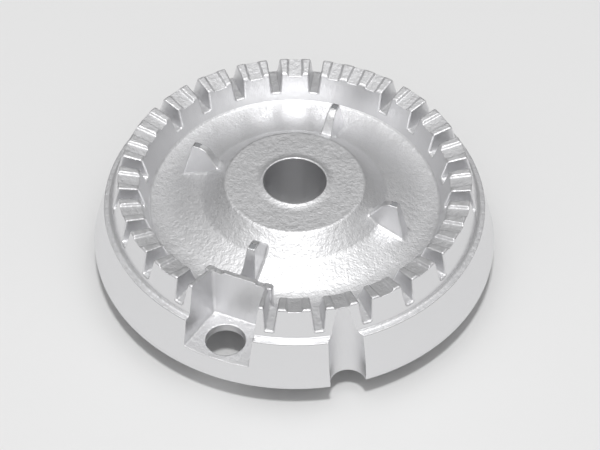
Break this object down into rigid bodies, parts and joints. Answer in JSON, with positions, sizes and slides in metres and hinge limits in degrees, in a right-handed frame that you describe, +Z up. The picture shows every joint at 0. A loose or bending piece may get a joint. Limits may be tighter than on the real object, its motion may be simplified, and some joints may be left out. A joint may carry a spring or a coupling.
{
  "type": "gas burner crown",
  "caption": "Round cast flame spreader with a ring of slotted teeth, a bowl with hub and fins, and a conical skirt with an electrode pocket and a groove.",
  "frame": {"origin": "on the axis of the crown, at the foot of its central tube", "axes": "+Z up along the axis, towards the tooth tops; +X to the right and +Y away from the camera in the picture"},
  "size_m": [0.0752, 0.0752, 0.0214],
  "materials": {
    "cast_aluminium": "fine cast grain, with a smooth machined skirt"
  },
  "bodies": {
    "root": {"crown": "cast_aluminium"}
  },
  "joints": []
}
